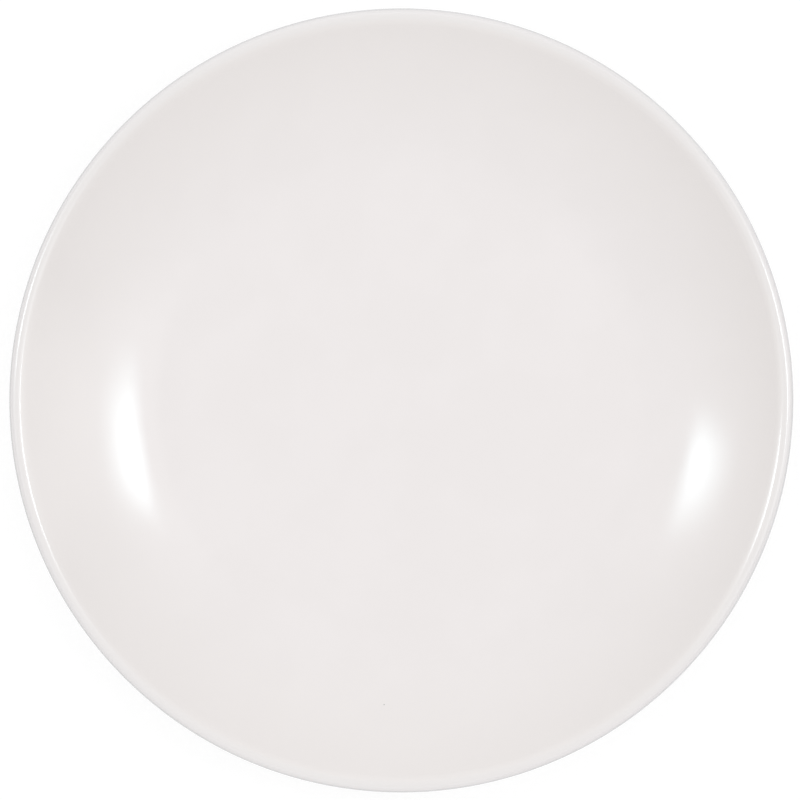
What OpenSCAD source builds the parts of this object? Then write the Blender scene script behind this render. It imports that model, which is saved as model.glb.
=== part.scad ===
// Coupe dinner plate in vitrified china: one clay body under three fired coats of glaze.
// The clay and its coats follow one section, turned about the Z axis, and each coat lies
// on the clay face to face. The bare foot ring stands on the table at Z = 0.

/* [Plate] */
// Diameter over the lip
plate_d = 270; // [250:1:300]
// Height of the lip above the table
plate_h = 27.5; // [24:0.5:34]
// Thickness of the floor, and of the wall where it leaves the knee
wall_t = 5.2; // [4.4:0.1:6.4]

/* [Well] */
// Diameter of the flat floor that food and a stacked plate rest on
well_d = 157; // [140:1:170]
// Radius of the knee that turns the floor up into the wall
knee_r = 45; // [30:1:60]
// Slope of the wall where it leaves the knee, in degrees
knee_slope = 15; // [10:0.5:18]

/* [Lip] */
// Radius of the outer half of the lip
lip_r = 2.6; // [2:0.1:3.2]
// Radius of the softer curve from the wall up to the top of the lip
lip_ease_r = 4; // [2.6:0.1:6]

/* [Foot ring] */
// Height of the hollow under the floor, inside the foot ring
foot_h = 3; // [2.4:0.1:4.5]
// Width of the foot ring
foot_w = 6; // [4.5:0.1:9]
// Distance of the foot ring's outer side from the edge of the flat floor
foot_inset = 2.5; // [2:0.1:12]
// Radius of the fillets between the foot ring and the underside
foot_fillet_r = 1.4; // [0.6:0.1:1.8]
// Radius of the two ground edges of the bare foot
foot_edge_r = 0.6; // [0.3:0.1:0.9]

/* [Glaze] */
// Thickness of the fired glaze
glaze_t = 0.3; // [0.15:0.05:0.5]
// Height of bare clay between the ground edges of the foot and the wiped glaze line
bare_side = 0.3; // [0.1:0.1:0.8]

/* [Hidden] */

// Furthest that a chord may stray from the arc it stands for
arc_error = 0.008;
// Least height of straight glazed side between the wiped line and the fillet over it
glazed_side = 0.2;
$fn = 180;

clay_colour = "#e6ddd0";
glaze_colour = "#eeeae9";

floor_z = foot_h + wall_t;
well_r = well_d / 2;
foot_out = well_r - foot_inset;
foot_in = foot_out - foot_w;
glaze_line_z = foot_edge_r + bare_side;
fillet_r = min(foot_fillet_r, foot_inset, foot_h - glaze_line_z - glazed_side);
fillet_z = foot_h - fillet_r;

// Direction out of the underside of a wall of the given slope
function outward(slope) = [sin(slope), -cos(slope)];

// Knee: its centre stands over the edge of the flat floor, and the face and the back share it
knee_centre = [well_r, floor_z + knee_r];
knee_back_r = knee_r + wall_t;
knee_out = outward(knee_slope);
knee_face_end = knee_centre + knee_r * knee_out;
knee_back_end = knee_centre + knee_back_r * knee_out;

// Lip: both of its arcs have their centres under its highest circle
lip_top_r = plate_d / 2 - lip_r;
lip_centre = [lip_top_r, plate_h - lip_r];
ease_centre = [lip_top_r, plate_h - lip_ease_r];

// Face of the wall: the one arc that runs on from the knee and into the lip with no kink
to_ease = ease_centre - knee_face_end;
wall_face_r = (to_ease * to_ease - lip_ease_r ^ 2) / (2 * (lip_ease_r - to_ease * knee_out));
wall_face_centre = knee_face_end - wall_face_r * knee_out;
face_end_out = (ease_centre - wall_face_centre) / (wall_face_r + lip_ease_r);
face_end_slope = atan2(face_end_out.x, -face_end_out.y);

// Back of the wall: likewise, into the outer half of the lip
to_lip = lip_centre - knee_back_end;
wall_back_r = (lip_r ^ 2 - to_lip * to_lip) / (2 * (lip_r + to_lip * knee_out));
wall_back_centre = knee_back_end - wall_back_r * knee_out;
back_end_out = (lip_centre - wall_back_centre) / (wall_back_r - lip_r);
back_end_slope = atan2(back_end_out.x, -back_end_out.y);

// Points along an arc after its first one. Angles are in degrees from the +X direction
function arc(centre, radius, from, to) =
    let (steps = ceil(abs(to - from) / (2 * acos(1 - arc_error / abs(radius)))))
    [for (i = [1:steps]) let (a = from + (to - from) * i / steps) centre + radius * [cos(a), sin(a)]];

function reversed(points) = [for (i = [len(points) - 1:-1:0]) points[i]];

// Widest circle of the lip, where the two outer coats meet, at a depth under the finished surface
function lip_edge(depth) = lip_centre + [lip_r - depth, 0];

// Upper side, from the axis out to the widest circle of the lip
function face_line(depth) = concat(
    [[0, floor_z - depth], [well_r, floor_z - depth]],
    arc(knee_centre, knee_r + depth, -90, knee_slope - 90),
    arc(wall_face_centre, wall_face_r + depth, knee_slope - 90, face_end_slope - 90),
    arc(ease_centre, lip_ease_r - depth, face_end_slope + 90, 90),
    arc(lip_centre, lip_r - depth, 90, 0)
);

// Underside, on from the widest circle of the lip to the glaze line on the outside of the foot ring
function back_line(depth) = concat(
    arc(lip_centre, lip_r - depth, 0, back_end_slope - 90),
    arc(wall_back_centre, wall_back_r - depth, back_end_slope - 90, knee_slope - 90),
    arc(knee_centre, knee_back_r - depth, knee_slope - 90, -90),
    [[foot_out + fillet_r, foot_h + depth]],
    arc([foot_out + fillet_r, fillet_z], fillet_r + depth, 90, 180),
    [[foot_out - depth, glaze_line_z]]
);

// Hollow under the floor, from the glaze line on the inside of the foot ring in to the axis
function foot_well_line(depth) = concat(
    [[foot_in + depth, glaze_line_z], [foot_in + depth, fillet_z]],
    arc([foot_in - fillet_r, fillet_z], fillet_r + depth, 0, 90),
    [[0, foot_h + depth]]
);

// Bare foot, from its outer side across the resting face to its inner side
function foot_line() = concat(
    [[foot_out - glaze_t, foot_edge_r]],
    arc([foot_out - glaze_t - foot_edge_r, foot_edge_r], foot_edge_r, 0, -90),
    [[foot_in + glaze_t + foot_edge_r, 0]],
    arc([foot_in + glaze_t + foot_edge_r, foot_edge_r], foot_edge_r, -90, -180)
);

// A coat of glaze between a finished line and the clay under it
module coat(finished, clay) {
    color(glaze_colour)
    rotate_extrude()
    polygon(concat(finished, reversed(clay)));
}

module clay_body() {
    color(clay_colour)
    rotate_extrude()
    polygon(concat(face_line(glaze_t), back_line(glaze_t), foot_line(), foot_well_line(glaze_t)));
}

module face_glaze() {
    coat(face_line(0), face_line(glaze_t));
}

module back_glaze() {
    coat(concat([lip_edge(0)], back_line(0)), concat([lip_edge(glaze_t)], back_line(glaze_t)));
}

module foot_well_glaze() {
    coat(foot_well_line(0), foot_well_line(glaze_t));
}

clay_body();
face_glaze();
back_glaze();
foot_well_glaze();
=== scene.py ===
"""Coupe dinner plate in white glazed china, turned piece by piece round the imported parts."""

import math

import bpy
from mathutils import Matrix, Vector


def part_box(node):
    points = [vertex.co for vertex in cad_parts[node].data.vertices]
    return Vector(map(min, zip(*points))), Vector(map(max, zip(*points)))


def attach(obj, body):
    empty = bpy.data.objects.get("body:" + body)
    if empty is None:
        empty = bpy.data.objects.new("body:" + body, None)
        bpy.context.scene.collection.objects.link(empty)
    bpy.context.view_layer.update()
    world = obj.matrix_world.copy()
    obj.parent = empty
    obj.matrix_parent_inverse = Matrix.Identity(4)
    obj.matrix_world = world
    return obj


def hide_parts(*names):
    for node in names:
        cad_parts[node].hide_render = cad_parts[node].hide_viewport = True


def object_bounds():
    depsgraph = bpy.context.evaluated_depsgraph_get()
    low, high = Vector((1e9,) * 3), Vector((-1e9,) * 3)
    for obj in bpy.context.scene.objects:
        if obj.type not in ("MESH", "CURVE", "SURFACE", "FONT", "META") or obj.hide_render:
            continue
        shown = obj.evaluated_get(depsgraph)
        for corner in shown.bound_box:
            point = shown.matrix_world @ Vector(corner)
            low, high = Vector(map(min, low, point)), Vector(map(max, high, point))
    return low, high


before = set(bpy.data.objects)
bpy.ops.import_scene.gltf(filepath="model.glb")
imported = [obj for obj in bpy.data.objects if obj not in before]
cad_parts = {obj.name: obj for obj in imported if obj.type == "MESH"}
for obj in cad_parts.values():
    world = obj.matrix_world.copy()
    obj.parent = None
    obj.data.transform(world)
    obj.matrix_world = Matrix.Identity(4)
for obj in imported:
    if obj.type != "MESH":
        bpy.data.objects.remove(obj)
cad_low, cad_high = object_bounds()

MM = 0.001
TINY = 0.001 * MM
QUARTER = math.pi / 2

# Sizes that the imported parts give
PLATE_R = cad_high.x
LIP_Z = cad_high.z
GLAZE_T = PLATE_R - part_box("clay_body")[1].x
FLOOR_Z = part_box("face_glaze")[0].z + GLAZE_T
FOOT_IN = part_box("foot_well_glaze")[1].x - GLAZE_T
FOOT_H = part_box("foot_well_glaze")[1].z - GLAZE_T
GLAZE_LINE_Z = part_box("foot_well_glaze")[0].z
WALL_T = FLOOR_Z - FOOT_H

# Sizes of the section that no box shows
WELL_R = 78.5 * MM
KNEE_R = 45 * MM
KNEE_SLOPE = math.radians(15)
LIP_R = 2.6 * MM
LIP_EASE_R = 4 * MM
LIP_ROLL_R = 18 * MM
LIP_ROLL_SLOPE = math.radians(24.4)
FOOT_W = 6 * MM
FOOT_OUT = FOOT_IN + FOOT_W
FILLET_R = 1.4 * MM
FOOT_EDGE_R = 0.6 * MM

# The wiped end of the glaze at the foot
BEAD_R = 0.2 * MM
BEAD_STEPS = 4
WIPE_WANDER = 0.45 * MM
WIPE_WAVE = 14 * MM

# How finely the plate is turned
WEDGES = 8
WEDGE_STEPS = 36
RING_STEP = 6 * MM
ARC_STEP = math.radians(1)
LIP_STEP = math.radians(3)
SEAM_TURN = math.radians(5)
SEAM_STEP = math.radians(0.5)
SMOOTH_ANGLE = math.radians(40)


def outward(slope):
    """Direction out of the underside of a wall of the given slope."""
    return Vector((math.sin(slope), -math.cos(slope)))


# Centres of the section's arcs, as radius and height
KNEE_CENTRE = Vector((WELL_R, FLOOR_Z + KNEE_R))
KNEE_OUT = outward(KNEE_SLOPE)
KNEE_FACE_END = KNEE_CENTRE + KNEE_R * KNEE_OUT
KNEE_BACK_END = KNEE_CENTRE + (KNEE_R + WALL_T) * KNEE_OUT
LIP_CENTRE = Vector((PLATE_R - LIP_R, LIP_Z - LIP_R))
EASE_CENTRE = Vector((PLATE_R - LIP_R, LIP_Z - LIP_EASE_R))
FILLET_OUT_CENTRE = Vector((FOOT_OUT + FILLET_R, FOOT_H - FILLET_R))
FILLET_IN_CENTRE = Vector((FOOT_IN - FILLET_R, FOOT_H - FILLET_R))

# The face of the wall is one arc, from the knee into the soft roll that leads on to the lip
ROLL_CENTRE = EASE_CENTRE + (LIP_ROLL_R - LIP_EASE_R) * outward(LIP_ROLL_SLOPE)
TO_ROLL = ROLL_CENTRE - KNEE_FACE_END
WALL_FACE_R = (TO_ROLL.length_squared - LIP_ROLL_R**2) / (2 * (LIP_ROLL_R - TO_ROLL.dot(KNEE_OUT)))
WALL_FACE_CENTRE = KNEE_FACE_END - WALL_FACE_R * KNEE_OUT
FACE_END_OUT = (ROLL_CENTRE - WALL_FACE_CENTRE).normalized()
FACE_END_SLOPE = math.atan2(FACE_END_OUT.x, -FACE_END_OUT.y)

# The back of the wall is likewise one arc, into the outer half of the lip
TO_LIP = LIP_CENTRE - KNEE_BACK_END
WALL_BACK_R = (LIP_R**2 - TO_LIP.length_squared) / (2 * (LIP_R + TO_LIP.dot(KNEE_OUT)))
WALL_BACK_CENTRE = KNEE_BACK_END - WALL_BACK_R * KNEE_OUT
BACK_END_OUT = (LIP_CENTRE - WALL_BACK_CENTRE).normalized()
BACK_END_SLOPE = math.atan2(BACK_END_OUT.x, -BACK_END_OUT.y)


class Section:
    """A half section in the XZ plane, drawn by extruding and spinning its last point."""

    def __init__(self, radius, height):
        self.end = Vector((radius, height))
        bpy.ops.object.select_all(action="DESELECT")
        bpy.ops.mesh.primitive_plane_add(size=WALL_T, enter_editmode=True, location=(0, 0, 0))
        bpy.ops.mesh.merge(type="CENTER")
        bpy.ops.transform.translate(value=(radius, 0, height))

    def line(self, radius, height):
        """Extrudes the last point along a straight line, in steps of a ring's width at most."""
        there = Vector((radius, height))
        steps = max(1, math.ceil((there - self.end).length / RING_STEP))
        step = (there - self.end) / steps
        for _ in range(steps):
            bpy.ops.mesh.extrude_region_move(TRANSFORM_OT_translate={"value": (step.x, 0, step.y)})
        self.end = there

    def arc(self, centre, turn, step=ARC_STEP):
        """Spins the last point round a centre, anticlockwise where the turn is positive."""
        steps = math.ceil(abs(turn) / step)
        bpy.ops.mesh.spin(steps=steps, angle=turn, center=(centre.x, 0, centre.y), axis=(0, 1, 0))
        self.end = centre + Matrix.Rotation(turn, 2) @ (self.end - centre)

    def turned(self, name):
        """Spins the section into a wedge, and the wedge round the plate's axis."""
        wedge = math.tau / WEDGES
        for steps, angle, copies in ((WEDGE_STEPS, wedge, False), (WEDGES - 1, math.tau - wedge, True)):
            bpy.ops.mesh.select_all(action="SELECT")
            bpy.ops.mesh.spin(steps=steps, angle=angle, dupli=copies, center=(0, 0, 0), axis=(0, 0, 1))
        bpy.ops.mesh.select_all(action="SELECT")
        bpy.ops.mesh.remove_doubles(threshold=TINY)
        bpy.ops.mesh.normals_make_consistent(inside=False)
        bpy.ops.object.mode_set(mode="OBJECT")
        piece = bpy.context.object
        piece.name = name
        piece.data.name = name
        return piece


# Runs of the section, each drawn at a depth under the glaze's surface

def draw_face(section, depth):
    """Upper side, from the axis out to the widest circle of the lip."""
    section.line(WELL_R, FLOOR_Z - depth)
    section.arc(KNEE_CENTRE, KNEE_SLOPE)
    section.arc(WALL_FACE_CENTRE, FACE_END_SLOPE - KNEE_SLOPE)
    section.arc(ROLL_CENTRE, LIP_ROLL_SLOPE - FACE_END_SLOPE)
    section.arc(EASE_CENTRE, -LIP_ROLL_SLOPE, LIP_STEP)
    section.arc(LIP_CENTRE, SEAM_TURN - QUARTER, LIP_STEP)
    section.arc(LIP_CENTRE, -SEAM_TURN, SEAM_STEP)


def draw_back(section, depth):
    """Underside, on from the widest circle of the lip to the glaze line outside the foot ring."""
    section.arc(LIP_CENTRE, -SEAM_TURN, SEAM_STEP)
    section.arc(LIP_CENTRE, SEAM_TURN + BACK_END_SLOPE - QUARTER, LIP_STEP)
    section.arc(WALL_BACK_CENTRE, KNEE_SLOPE - BACK_END_SLOPE)
    section.arc(KNEE_CENTRE, -KNEE_SLOPE)
    section.line(FILLET_OUT_CENTRE.x, FOOT_H + depth)
    section.arc(FILLET_OUT_CENTRE, QUARTER, LIP_STEP)
    section.line(FOOT_OUT - depth, GLAZE_LINE_Z)


def draw_foot(section):
    """Bare foot, from its outer side across the resting face to its inner side."""
    outer = FOOT_OUT - GLAZE_T
    inner = FOOT_IN + GLAZE_T
    section.line(outer, FOOT_EDGE_R)
    section.arc(Vector((outer - FOOT_EDGE_R, FOOT_EDGE_R)), -QUARTER, LIP_STEP)
    section.line(inner + FOOT_EDGE_R, 0)
    section.arc(Vector((inner + FOOT_EDGE_R, FOOT_EDGE_R)), -QUARTER, LIP_STEP)
    section.line(inner, GLAZE_LINE_Z)


def draw_foot_well(section, depth):
    """Hollow under the floor, from the glaze line inside the foot ring in to the axis."""
    section.line(FOOT_IN + depth, FILLET_IN_CENTRE.y)
    section.arc(FILLET_IN_CENTRE, QUARTER, LIP_STEP)
    section.line(0, FOOT_H + depth)


# Steps that make a coat of a turned skin

def face_outwards(skin, upwards):
    """Turns an open skin over if, on the whole, it does not look the given way."""
    lean = sum(face.area * face.normal.z for face in skin.data.polygons)
    if (lean > 0) == upwards:
        return
    bpy.ops.object.mode_set(mode="EDIT")
    bpy.ops.mesh.select_all(action="SELECT")
    bpy.ops.mesh.flip_normals()
    bpy.ops.object.mode_set(mode="OBJECT")


def thicken(skin):
    """Gives a skin of glaze its thickness, inward to the clay."""
    coat = skin.modifiers.new("glaze_thickness", "SOLIDIFY")
    coat.thickness = GLAZE_T
    coat.offset = -1
    coat.use_even_offset = True
    bpy.ops.object.modifier_apply(modifier=coat.name)


def select_points(piece, wanted):
    """Selects the points that are wanted, and leaves the piece in edit mode."""
    bpy.ops.object.mode_set(mode="EDIT")
    bpy.ops.mesh.select_mode(type="VERT")
    bpy.ops.mesh.select_all(action="DESELECT")
    bpy.ops.object.mode_set(mode="OBJECT")
    for point in piece.data.vertices:
        point.select = wanted(point.co)
    bpy.ops.object.mode_set(mode="EDIT")


def wipe_glaze_line(coat, foot_side):
    """Rounds the end of the glaze at the foot into a bead and lets its line wander."""
    def on_edge(spot):
        return abs(spot.xy.length - foot_side) < TINY and spot.z < GLAZE_LINE_Z + TINY

    def near_line(spot):
        return spot.z < GLAZE_LINE_Z + BEAD_R + TINY

    select_points(coat, on_edge)
    bpy.ops.mesh.bevel(offset=BEAD_R, segments=BEAD_STEPS, affect="EDGES")
    bpy.ops.object.mode_set(mode="OBJECT")
    select_points(coat, near_line)
    coat.vertex_groups.new(name="wiped_line")
    bpy.ops.object.vertex_group_assign()
    bpy.ops.object.mode_set(mode="OBJECT")
    wander = bpy.data.textures.new("wiped_line", "CLOUDS")
    wander.noise_scale = WIPE_WAVE
    wiped = coat.modifiers.new("wiped_line", "DISPLACE")
    wiped.texture = wander
    wiped.vertex_group = "wiped_line"
    wiped.direction = "Z"
    wiped.strength = WIPE_WANDER
    bpy.ops.object.modifier_apply(modifier=wiped.name)


def place(piece, node, finish):
    """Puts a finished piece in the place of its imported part."""
    bpy.ops.object.shade_smooth_by_angle(angle=SMOOTH_ANGLE)
    piece.data.materials.append(finish)
    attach(piece, "root")
    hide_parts(node)


# Glaze: its tones, painted shade and light on the lip, its gloss, and the sizes of its unevenness
GLAZE_WHITE = (0.868, 0.822, 0.813, 1)
GLAZE_SHADE = (0.858, 0.812, 0.802, 1)
GLAZE_WALL = (0.865, 0.818, 0.797, 1)
# Painted shade: the lip's crest is made a touch darker, since it faces up and catches the most light
PAINTED_CREST_SHADE = (0.843, 0.805, 0.793, 1)
# Painted light: the outer side of the lip is made paler, as if more light fell on it
PAINTED_LIP_LIGHT = (0.866, 0.830, 0.825, 1)
# Painted shade: a grey at the lip's outermost edge, where it turns down and away from the light
PAINTED_EDGE_SHADE = (0.682, 0.666, 0.668, 1)
GLAZE_IOR = 1.52
GLAZE_ROUGHNESS = (0.09, 0.12)
SHINE_ROUGHNESS = 0.105
WALL_SHARE = 0.7
MOTTLE_SIZE = 22 * MM
MOTTLE_SPAN = (0.35, 0.65)
GLOSS_SIZE = 9 * MM
GLOSS_SPAN = (0.3, 0.7)
RIPPLE_SIZE = 6 * MM
RIPPLE_DEPTH = 0.003 * MM

# Zones of the lip, by how far in from its edge each one starts and is full: more shine, painted shade on
# the crest, painted light on the outer side and painted shade at the edge
SHINE_ZONE = (6.5 * MM, 4.5 * MM)
# Painted shade on the crest of the lip
CREST_SHADE_ZONE = (4.6 * MM, 3.2 * MM)
# Painted light on the outer side of the lip
LIP_LIGHT_ZONE = (2.4 * MM, 1.6 * MM)
# Painted shade at the outer edge of the lip
EDGE_SHADE_ZONE = (0.9 * MM, 0.3 * MM)

# One pinhole in the glaze on the wall
PINHOLE_GREY = (0.45, 0.43, 0.42, 1)
PINHOLE_R = 0.3 * MM
PINHOLE_XY = Vector((-5.96, -105.42)) * MM

# Bare china: its tones, and the sizes of its sand, pores and grain
CHINA_CREAM = (0.81, 0.755, 0.68, 1)
CHINA_SAND = (0.74, 0.675, 0.595, 1)
CHINA_PORE = (0.52, 0.46, 0.39, 1)
CHINA_ROUGHNESS = (0.7, 0.9)
SAND_SIZE = 1.6 * MM
SAND_SPAN = (0.35, 0.65)
PORE_SIZE = 1.3 * MM
PORE_SPAN = (0.16, 0.08)
GRAIN_SIZE = 0.5 * MM
GRAIN_DEPTH = 0.03 * MM


def add_node(tree, kind, feeds, **settings):
    """Adds one node, with links from sockets and plain values for the rest of its inputs."""
    node = tree.nodes.new("ShaderNode" + kind)
    for setting, value in settings.items():
        setattr(node, setting, value)
    for socket, value in feeds.items():
        if isinstance(value, bpy.types.NodeSocket):
            tree.links.new(value, node.inputs[socket])
        else:
            node.inputs[socket].default_value = value
    return node


def new_finish(name):
    """A material with its node tree, its shader and the plate's own coordinates."""
    finish = bpy.data.materials.new(name)
    finish.use_nodes = True
    tree = finish.node_tree
    shader = tree.nodes["Principled BSDF"]
    spot = add_node(tree, "TexCoord", {}).outputs["Object"]
    return finish, tree, shader, spot


def noise(tree, spot, size, detail=2):
    """Noise with features of the given size."""
    return add_node(tree, "TexNoise", {"Vector": spot, "Scale": 1 / size, "Detail": detail}).outputs["Fac"]


def between(tree, value, start, stop, low=0, high=1):
    """Eases a value from one range into another."""
    feeds = {"Value": value, "From Min": start, "From Max": stop, "To Min": low, "To Max": high}
    return add_node(tree, "MapRange", feeds, interpolation_type="SMOOTHSTEP").outputs["Result"]


def blend(tree, share, under, over):
    """Mixes two colours."""
    mix = add_node(tree, "Mix", {"Factor": share}, data_type="RGBA")
    for socket, colour in ((mix.inputs[6], under), (mix.inputs[7], over)):
        if isinstance(colour, bpy.types.NodeSocket):
            tree.links.new(colour, socket)
        else:
            socket.default_value = colour
    return mix.outputs[2]


def radius_of(tree, spot):
    """Distance from the plate's axis."""
    flat = add_node(tree, "VectorMath", {0: spot, 1: (1, 1, 0)}, operation="MULTIPLY").outputs["Vector"]
    return add_node(tree, "VectorMath", {0: flat}, operation="LENGTH").outputs["Value"]


def near_edge(tree, radius, zone):
    """Rises from nothing where a zone of the lip starts to one where it is full."""
    start, full = zone
    return between(tree, radius, PLATE_R - start, PLATE_R - full)


def ripple_surface(tree, shader, height, depth):
    """Lets a pattern ripple the surface to the given depth."""
    bump = add_node(tree, "Bump", {"Height": height, "Strength": 1, "Distance": depth})
    tree.links.new(bump.outputs["Normal"], shader.inputs["Normal"])


def white_glaze():
    """Glossy white glaze, faintly uneven, shinier on the lip, with painted shade on the lip's crest and
    edge, painted light on its outer side, and one pinhole.
    """
    finish, tree, shader, spot = new_finish("white_glaze")
    radius = radius_of(tree, spot)
    mottle = between(tree, noise(tree, spot, MOTTLE_SIZE), *MOTTLE_SPAN)
    colour = blend(tree, mottle, GLAZE_WHITE, GLAZE_SHADE)
    colour = blend(tree, between(tree, radius, WELL_R, PLATE_R, 0, WALL_SHARE), colour, GLAZE_WALL)
    # Painted shade on the lip's crest, painted light on its outer side, painted shade at its very edge
    for zone, tone in ((CREST_SHADE_ZONE, PAINTED_CREST_SHADE), (LIP_LIGHT_ZONE, PAINTED_LIP_LIGHT), (EDGE_SHADE_ZONE, PAINTED_EDGE_SHADE)):
        colour = blend(tree, near_edge(tree, radius, zone), colour, tone)
    across = PINHOLE_XY.length - WALL_FACE_CENTRE.x
    drop = math.sqrt(WALL_FACE_R**2 - across**2)
    pinhole = (PINHOLE_XY.x, PINHOLE_XY.y, WALL_FACE_CENTRE.y - drop)
    away = add_node(tree, "VectorMath", {0: spot, 1: pinhole}, operation="DISTANCE").outputs["Value"]
    colour = blend(tree, between(tree, away, PINHOLE_R, PINHOLE_R / 3), colour, PINHOLE_GREY)
    tree.links.new(colour, shader.inputs["Base Color"])
    gloss = between(tree, noise(tree, spot, GLOSS_SIZE), *GLOSS_SPAN, *GLAZE_ROUGHNESS)
    tree.links.new(gloss, shader.inputs["Roughness"])
    shader.inputs["IOR"].default_value = GLAZE_IOR
    tree.links.new(near_edge(tree, radius, SHINE_ZONE), shader.inputs["Coat Weight"])
    shader.inputs["Coat IOR"].default_value = GLAZE_IOR
    shader.inputs["Coat Roughness"].default_value = SHINE_ROUGHNESS
    ripple_surface(tree, shader, noise(tree, spot, RIPPLE_SIZE, detail=1), RIPPLE_DEPTH)
    return finish


def bare_china():
    """Unglazed fired clay, sandy and matt, ground flat on the foot."""
    finish, tree, shader, spot = new_finish("bare_china")
    sand = between(tree, noise(tree, spot, SAND_SIZE, detail=4), *SAND_SPAN)
    colour = blend(tree, sand, CHINA_CREAM, CHINA_SAND)
    pores = add_node(tree, "TexVoronoi", {"Vector": spot, "Scale": 1 / PORE_SIZE}).outputs["Distance"]
    colour = blend(tree, between(tree, pores, *PORE_SPAN), colour, CHINA_PORE)
    tree.links.new(colour, shader.inputs["Base Color"])
    tree.links.new(between(tree, sand, 0, 1, *CHINA_ROUGHNESS), shader.inputs["Roughness"])
    ripple_surface(tree, shader, noise(tree, spot, GRAIN_SIZE, detail=3), GRAIN_DEPTH)
    return finish


glaze = white_glaze()
china = bare_china()

# The plate, from the clay outwards

section = Section(0, FLOOR_Z - GLAZE_T)
draw_face(section, GLAZE_T)
draw_back(section, GLAZE_T)
draw_foot(section)
draw_foot_well(section, GLAZE_T)
turned_china = section.turned("turned_china")
place(turned_china, "clay_body", china)

section = Section(0, FLOOR_Z)
draw_face(section, 0)
glazed_face = section.turned("glazed_face")
face_outwards(glazed_face, upwards=True)
thicken(glazed_face)
place(glazed_face, "face_glaze", glaze)

section = Section(PLATE_R, LIP_CENTRE.y)
draw_back(section, 0)
glazed_back = section.turned("glazed_back")
face_outwards(glazed_back, upwards=False)
thicken(glazed_back)
wipe_glaze_line(glazed_back, FOOT_OUT)
place(glazed_back, "back_glaze", glaze)

section = Section(FOOT_IN, GLAZE_LINE_Z)
draw_foot_well(section, 0)
glazed_foot_well = section.turned("glazed_foot_well")
face_outwards(glazed_foot_well, upwards=False)
thicken(glazed_foot_well)
wipe_glaze_line(glazed_foot_well, FOOT_IN)
place(glazed_foot_well, "foot_well_glaze", glaze)

# Camera straight above the plate, with the plate where the photograph has it

IMAGE_SIDE = 800
IMAGE_MIDDLE = (IMAGE_SIDE - 1) / 2
PLATE_PIXEL_R = 392.1
PLATE_PIXEL = (400.81, 399.92)
CAMERA_HEIGHT = 1.6

pixel = PLATE_R / PLATE_PIXEL_R
camera_x = (IMAGE_MIDDLE - PLATE_PIXEL[0]) * pixel
camera_y = (PLATE_PIXEL[1] - IMAGE_MIDDLE) * pixel
bpy.ops.object.camera_add(location=(camera_x, camera_y, CAMERA_HEIGHT), rotation=(0, 0, 0))
camera = bpy.context.object
camera.name = "overhead_camera"
view_width = IMAGE_SIDE * pixel
camera.data.lens = camera.data.sensor_width * (CAMERA_HEIGHT - LIP_CENTRE.y) / view_width
bpy.context.scene.camera = camera
bpy.context.scene.view_settings.view_transform = "Standard"

# Two soft boxes, faintly cool, each brightest inside and fading to its edges

SOFTBOX_TINT = (0.8, 0.957, 1)
POWER_PER_RADIANCE = 4


def direction(azimuth, tilt):
    """Way from the plate, by degrees round from the right and down from straight above."""
    lean = Matrix.Rotation(math.radians(tilt), 3, "Y")
    turn = Matrix.Rotation(math.radians(azimuth), 3, "Z")
    return turn @ lean @ Vector((0, 0, 1))


def softbox(name, away, distance, width, height, radiance, fades):
    """Area lamp facing the plate. A fade is an axis and the shares of it where light starts and is full."""
    bpy.ops.object.light_add(type="AREA", location=distance * away)
    lamp = bpy.context.object
    lamp.name = name
    lamp.rotation_euler = away.to_track_quat("Z", "Y").to_euler()
    lamp.data.color = SOFTBOX_TINT
    lamp.data.shape = "RECTANGLE"
    lamp.data.size = width
    lamp.data.size_y = height
    lamp.data.energy = radiance * POWER_PER_RADIANCE * width * height
    lamp.data.use_nodes = True
    tree = lamp.data.node_tree
    spread = add_node(tree, "NewGeometry", {}).outputs["Parametric"]
    axes = add_node(tree, "SeparateXYZ", {"Vector": spread}).outputs
    strength = 1
    for axis, start, full in fades:
        share = between(tree, axes[axis], start, full)
        strength = add_node(tree, "Math", {0: strength, 1: share}, operation="MULTIPLY").outputs["Value"]
    tree.links.new(strength, tree.nodes["Emission"].inputs["Strength"])


softbox(
    "right_softbox", direction(6.6, 29.22), distance=1.36, width=0.479, height=0.291, radiance=9.05,
    fades=(("X", 0, 0.643), ("X", 1, 0.659), ("Y", 0, 0.95), ("Y", 1, 0.722)),
)
softbox(
    "left_softbox", direction(165.06, 37.61), distance=1.344, width=0.413, height=0.369, radiance=8.4,
    fades=(("X", 0, 0.656), ("X", 1, 0.555), ("Y", 0, 0.95), ("Y", 1, 0.735)),
)

# Pale room, brightest overhead, with three glows and a white backdrop below

HORIZON_LIGHT = 0.297
OVERHEAD_LIGHT = 0.949
OVERHEAD_Z = 0.8
BACKDROP_Z = 0.45
BACKDROP_LIGHT = 1

# Light that the room gains along an axis, in step with it and with its square
LEANS = (("X", -0.057, -0.29), ("Y", 0.045, 0.29))

# Glows round the two soft boxes and low on the right: the way to each, and the light at its middle
GLOW_REACH = math.radians(22)
GLOWS = ((direction(2, 29.7), 0.76), (direction(167.7, 37), 0.39), (direction(4, 59), 0.86))


def seen_directly(tree):
    """One where a ray comes from the camera, from a gloss or through a clear piece."""
    path = add_node(tree, "LightPath", {}).outputs
    share = path["Is Camera Ray"]
    for ray in ("Is Glossy Ray", "Is Transmission Ray"):
        share = add_node(tree, "Math", {0: share, 1: path[ray]}, operation="MAXIMUM").outputs["Value"]
    return share


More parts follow.
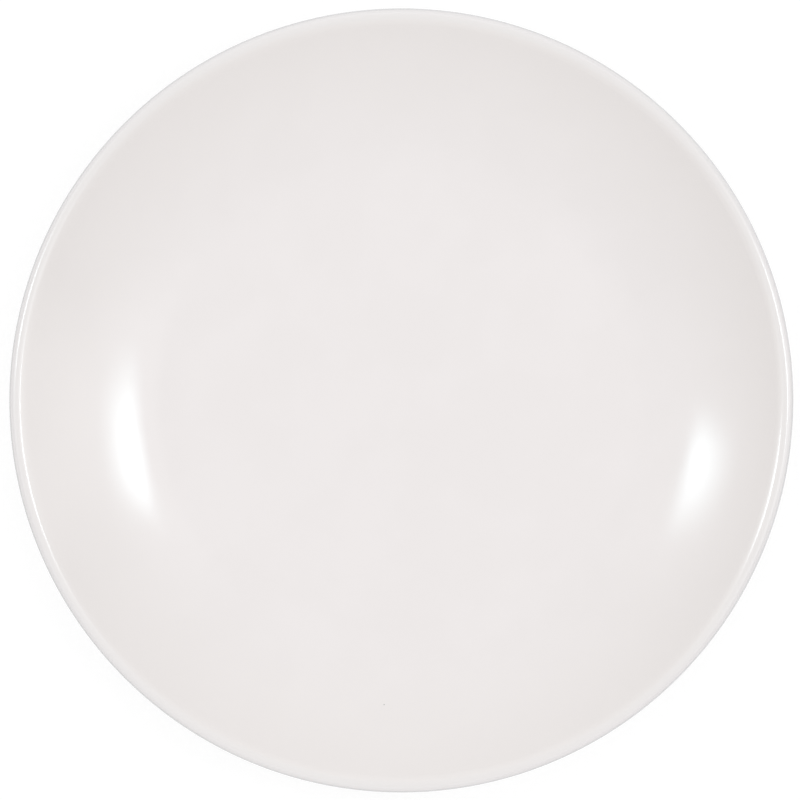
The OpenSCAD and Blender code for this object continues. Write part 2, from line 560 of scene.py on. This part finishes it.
room = bpy.data.worlds.new("pale_room")
bpy.context.scene.world = room
room.use_nodes = True
tree = room.node_tree
toward = add_node(tree, "TexCoord", {}).outputs["Generated"]
axes = add_node(tree, "SeparateXYZ", {"Vector": toward}).outputs
feeds = {"Value": axes["Z"], "From Max": OVERHEAD_Z, "To Min": HORIZON_LIGHT, "To Max": OVERHEAD_LIGHT}
light = add_node(tree, "MapRange", feeds).outputs["Result"]
for axis, straight, square in LEANS:
    feeds = {0: axes[axis], 1: square, 2: straight}
    share = add_node(tree, "Math", feeds, operation="MULTIPLY_ADD").outputs["Value"]
    feeds = {0: axes[axis], 1: share, 2: light}
    light = add_node(tree, "Math", feeds, operation="MULTIPLY_ADD").outputs["Value"]
for way, glow in GLOWS:
    facing = add_node(tree, "VectorMath", {0: toward, 1: way}, operation="DOT_PRODUCT").outputs["Value"]
    share = between(tree, facing, math.cos(GLOW_REACH), 1, 0, glow)
    light = add_node(tree, "Math", {0: light, 1: share}, operation="ADD").outputs["Value"]
low = between(tree, axes["Z"], BACKDROP_Z, BACKDROP_Z / 2)
backdrop = add_node(tree, "Math", {0: low, 1: seen_directly(tree)}, operation="MULTIPLY").outputs["Value"]
light = add_node(tree, "Mix", {0: backdrop, 2: light, 3: BACKDROP_LIGHT}).outputs[0]
tree.nodes["Background"].inputs["Color"].default_value = (1, 1, 1, 1)
tree.links.new(light, tree.nodes["Background"].inputs["Strength"])

# White table, which shows itself white and keeps the plate's shadow

TABLE_SIDE = 12
TABLE_GLOW = 0.82
TABLE_SHADED = (0.22, 0.22, 0.22, 1)
TABLE_WHITE = (0.9, 0.9, 0.9, 1)

bpy.ops.mesh.primitive_plane_add(size=TABLE_SIDE, location=(0, 0, 0))
table = bpy.context.object
table.name = "white_table"
table_top = bpy.data.materials.new("white_table")
table.data.materials.append(table_top)
table_top.use_nodes = True
tree = table_top.node_tree
tree.nodes.remove(tree.nodes["Principled BSDF"])
glow = add_node(tree, "Emission", {"Strength": TABLE_GLOW})
shaded = add_node(tree, "BsdfDiffuse", {"Color": TABLE_SHADED})
shown = add_node(tree, "AddShader", {0: glow.outputs[0], 1: shaded.outputs[0]})
plain = add_node(tree, "BsdfDiffuse", {"Color": TABLE_WHITE})
feeds = {0: seen_directly(tree), 1: plain.outputs[0], 2: shown.outputs[0]}
cover = add_node(tree, "MixShader", feeds)
tree.links.new(cover.outputs[0], tree.nodes["Material Output"].inputs["Surface"])
